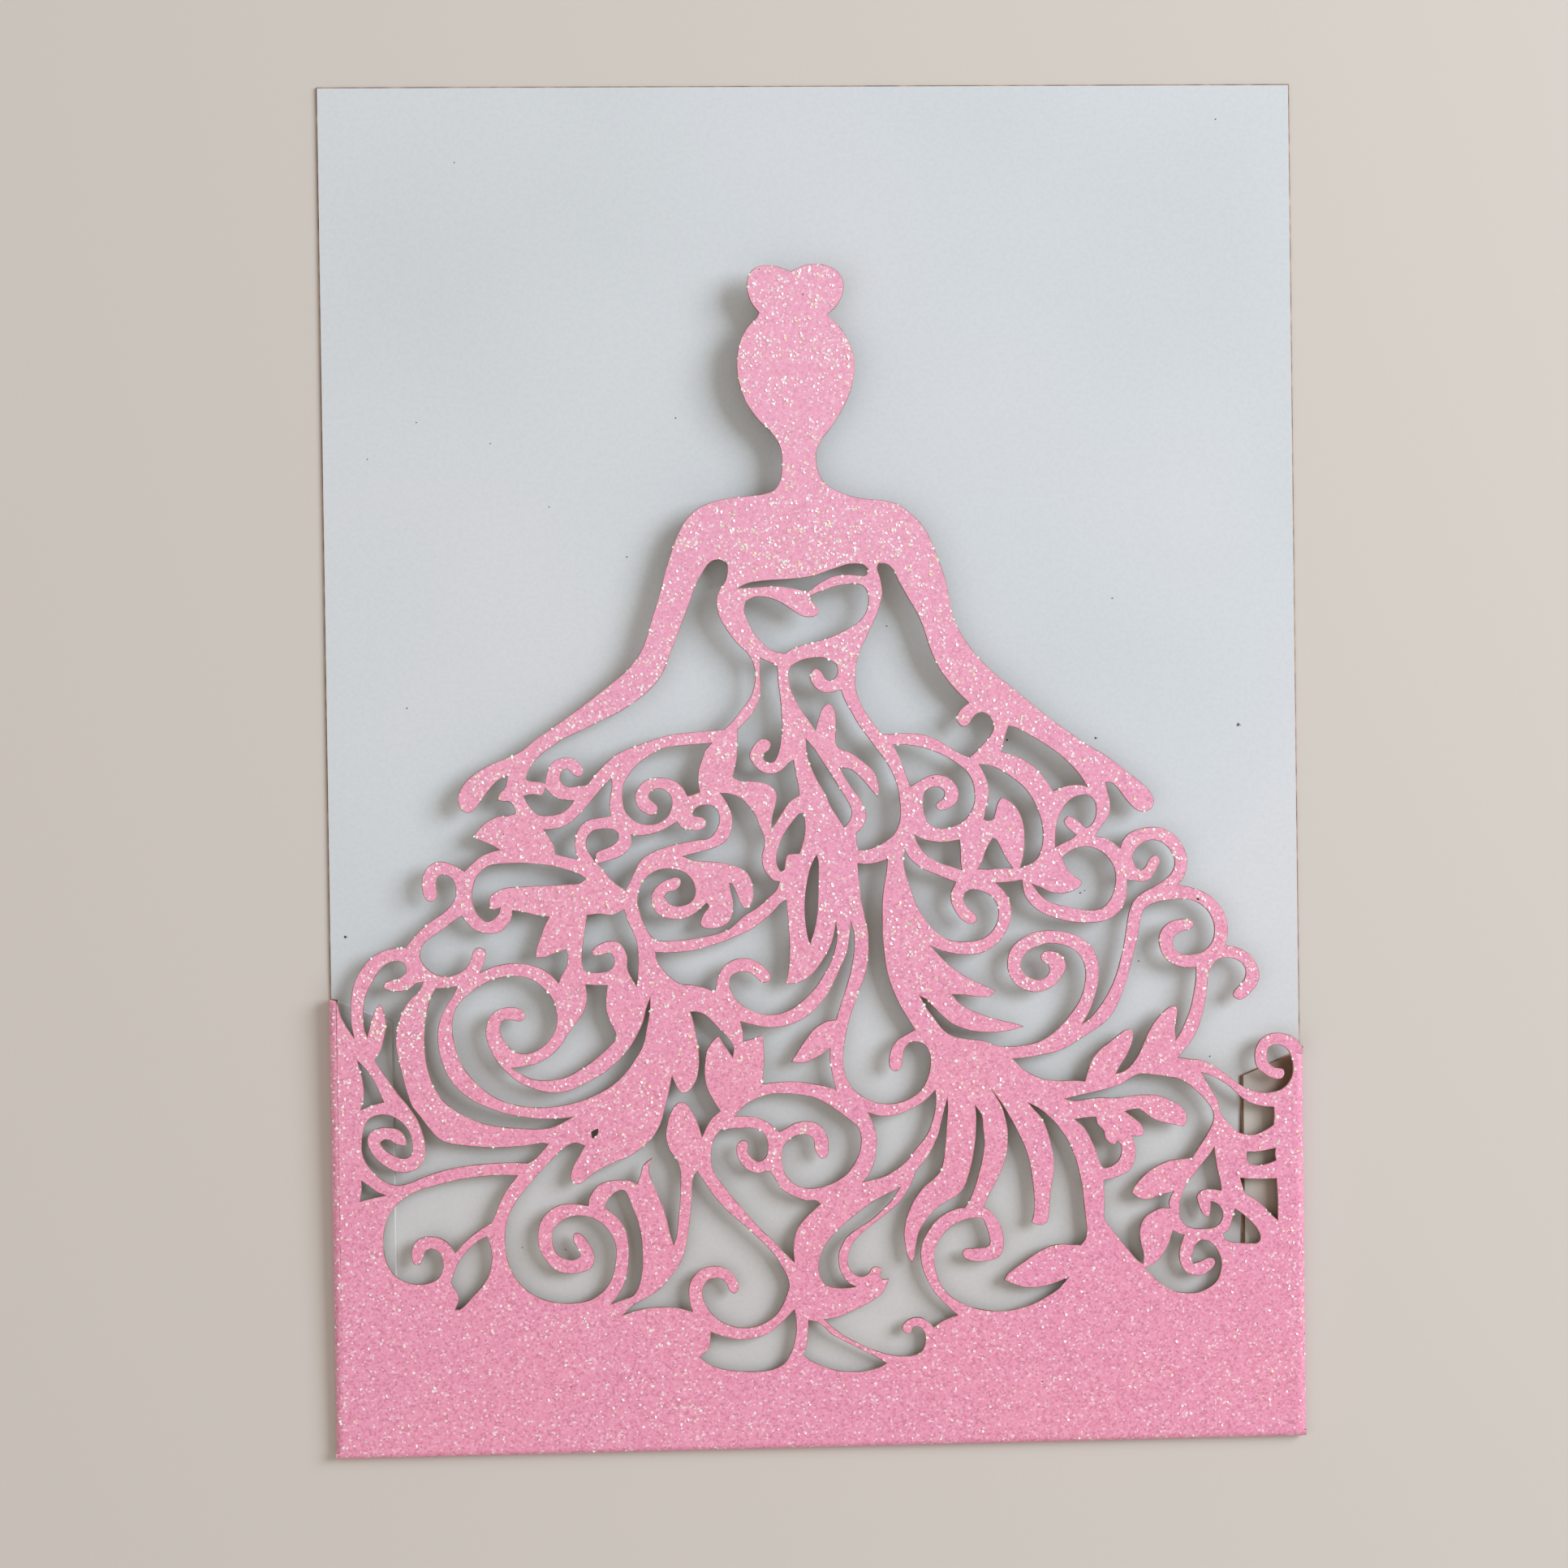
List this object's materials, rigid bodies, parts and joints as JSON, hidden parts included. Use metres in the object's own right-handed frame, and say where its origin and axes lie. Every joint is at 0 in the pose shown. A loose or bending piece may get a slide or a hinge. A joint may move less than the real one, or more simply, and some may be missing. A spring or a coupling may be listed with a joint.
{
  "type": "laser-cut invitation card",
  "caption": "Flat folded invitation card of pink glitter cardstock with a white inner face. The front panel is cut through as a lady in a wide ball gown made of scrolls and leaves, over a solid hem band.",
  "frame": {"origin": "middle of the back panel's underside", "axes": "+X across the card to the viewer's right, +Y up the card towards the figure's head, +Z out of the front face"},
  "size_m": [0.127, 0.1778, 0.0044],
  "materials": {
    "glitter_cardstock": "fine pink glitter outside, matt white inside"
  },
  "bodies": {
    "root": {"folded_card": "glitter_cardstock"}
  },
  "joints": []
}
